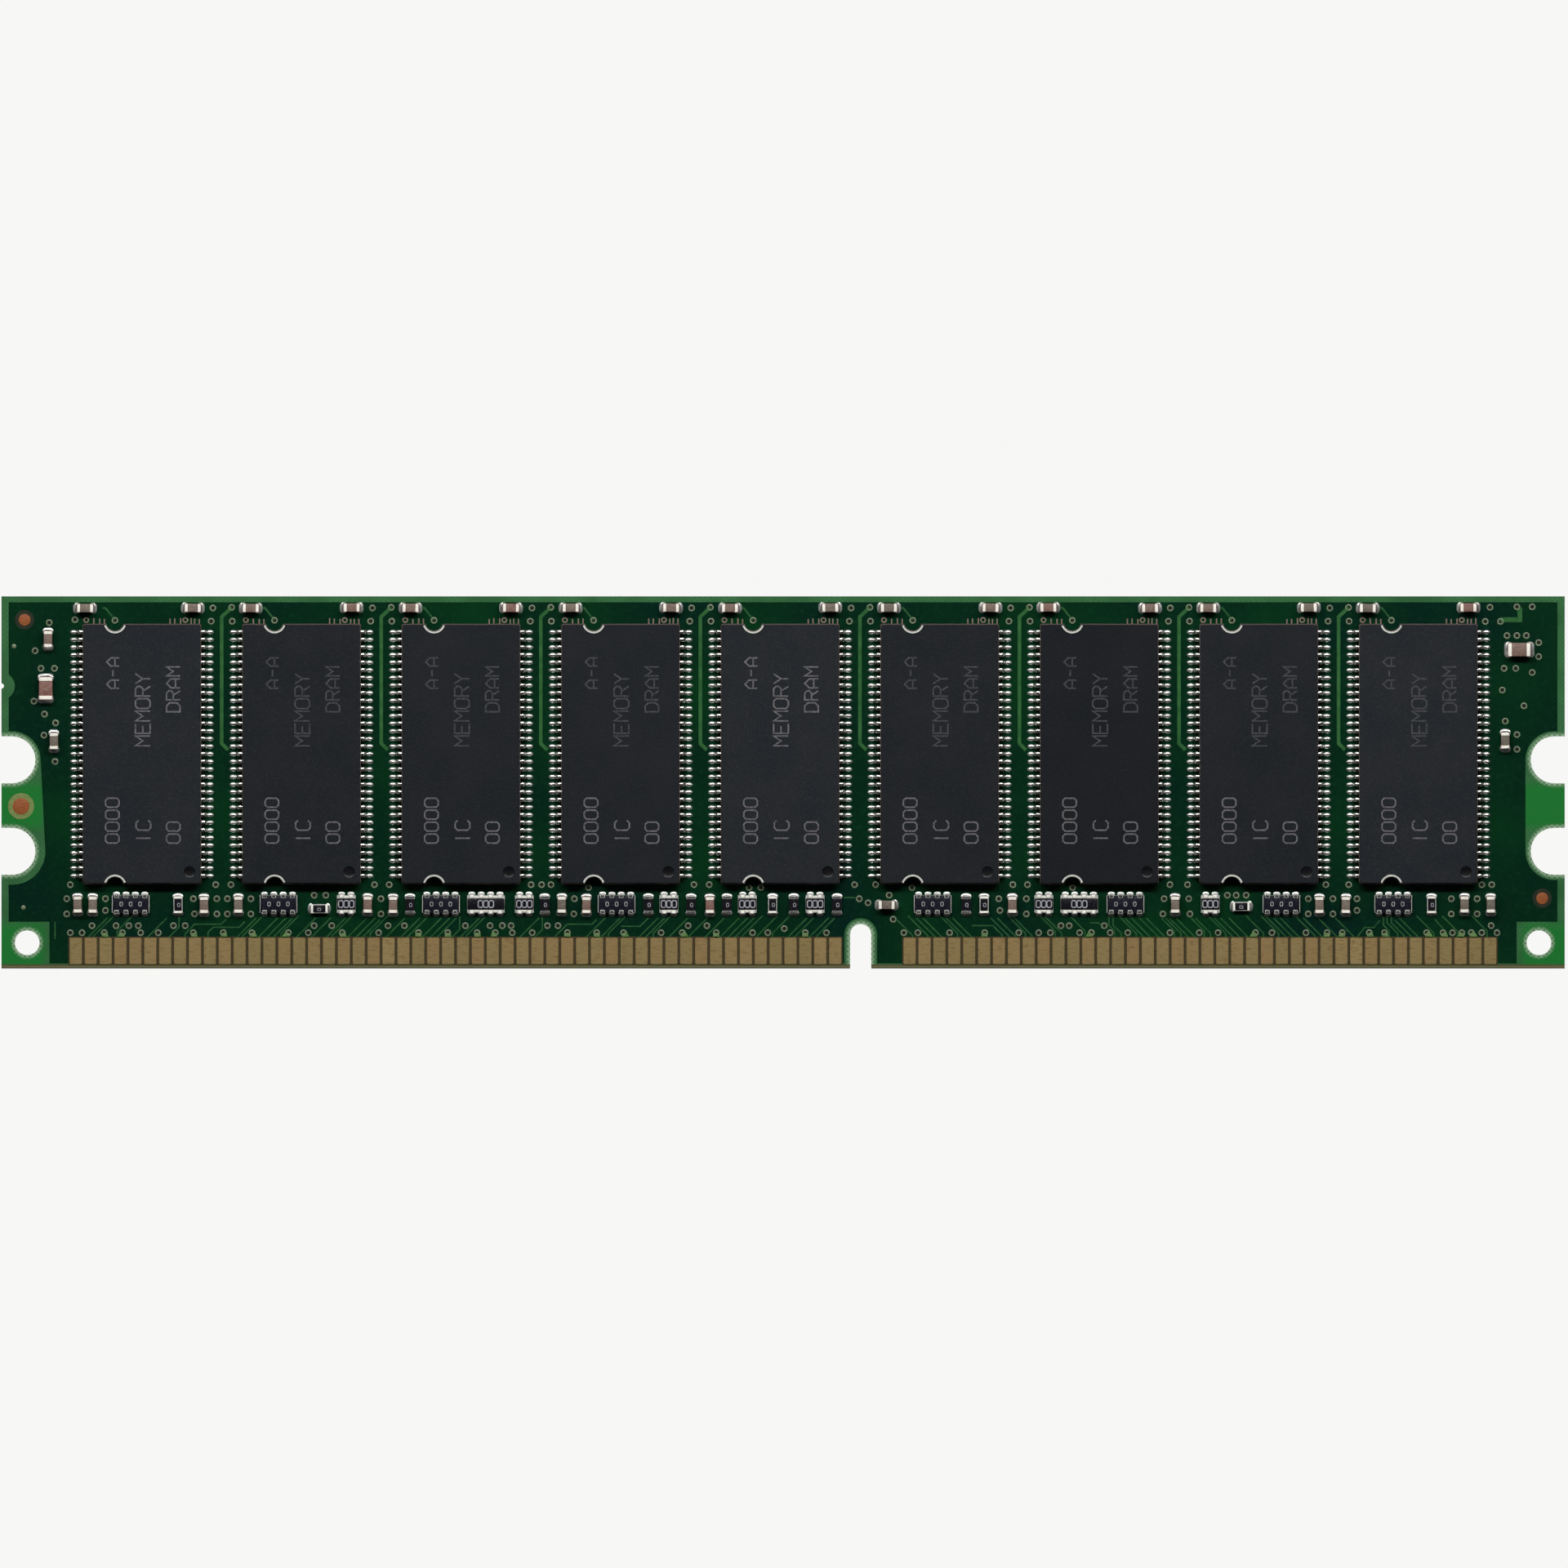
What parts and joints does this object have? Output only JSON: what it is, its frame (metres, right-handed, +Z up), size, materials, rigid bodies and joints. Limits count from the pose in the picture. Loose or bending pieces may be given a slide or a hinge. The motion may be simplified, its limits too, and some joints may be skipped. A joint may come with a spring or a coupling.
{
  "type": "ram module",
  "caption": "Upright desktop memory module: notched green circuit board with gold edge contacts and a row of black memory packages on one side.",
  "frame": {"origin": "middle of the contact edge's flat bottom, at mid thickness of the board", "axes": "+X along the board with the memory side in front, +Y towards the back of the board, +Z up from the contact edge"},
  "size_m": [0.1334, 0.0034, 0.0318],
  "materials": {
    "solder_mask": "satin dark green solder mask over glass epoxy laminate",
    "contact_gold": "worn hard gold plating",
    "moulded_epoxy": "fine matt moulded epoxy",
    "tinned_lead": "satin tin plating",
    "silicon": "polished silicon",
    "resistor_ceramic": "dark glass glaze with tinned terminals",
    "capacitor_ceramic": "matt brown ceramic with tinned terminals"
  },
  "bodies": {
    "root": {"circuit_board": "solder_mask", "contacts_front_left": "contact_gold", "contacts_front_right": "contact_gold", "contacts_back_left": "contact_gold", "contacts_back_right": "contact_gold", "dram_body_1": "moulded_epoxy", "dram_leadframe_1": "tinned_lead", "dram_die_1": "silicon", "dram_body_2": "moulded_epoxy", "dram_leadframe_2": "tinned_lead", "dram_die_2": "silicon", "dram_body_3": "moulded_epoxy", "dram_leadframe_3": "tinned_lead", "dram_die_3": "silicon", "dram_body_4": "moulded_epoxy", "dram_leadframe_4": "tinned_lead", "dram_die_4": "silicon", "dram_body_5": "moulded_epoxy", "dram_leadframe_5": "tinned_lead", "dram_die_5": "silicon", "dram_body_6": "moulded_epoxy", "dram_leadframe_6": "tinned_lead", "dram_die_6": "silicon", "dram_body_7": "moulded_epoxy", "dram_leadframe_7": "tinned_lead", "dram_die_7": "silicon", "dram_body_8": "moulded_epoxy", "dram_leadframe_8": "tinned_lead", "dram_die_8": "silicon", "dram_body_9": "moulded_epoxy", "dram_leadframe_9": "tinned_lead", "dram_die_9": "silicon", "spd_body": "moulded_epoxy", "spd_leadframe": "tinned_lead", "spd_die": "silicon", "resistor_network_1": "resistor_ceramic", "resistor_network_2": "resistor_ceramic", "resistor_network_3": "resistor_ceramic", "resistor_network_4": "resistor_ceramic", "resistor_network_5": "resistor_ceramic", "resistor_network_6": "resistor_ceramic", "resistor_network_7": "resistor_ceramic", "resistor_network_8": "resistor_ceramic", "resistor_network_9": "resistor_ceramic", "resistor_network_10": "resistor_ceramic", "resistor_network_11": "resistor_ceramic", "resistor_network_12": "resistor_ceramic", "resistor_network_13": "resistor_ceramic", "resistor_network_14": "resistor_ceramic", "resistor_network_15": "resistor_ceramic", "resistor_network_16": "resistor_ceramic", "resistor_network_17": "resistor_ceramic", "edge_capacitor_1": "capacitor_ceramic", "edge_capacitor_2": "capacitor_ceramic", "edge_capacitor_3": "capacitor_ceramic", "edge_capacitor_4": "capacitor_ceramic", "edge_capacitor_5": "capacitor_ceramic"}
  },
  "joints": []
}
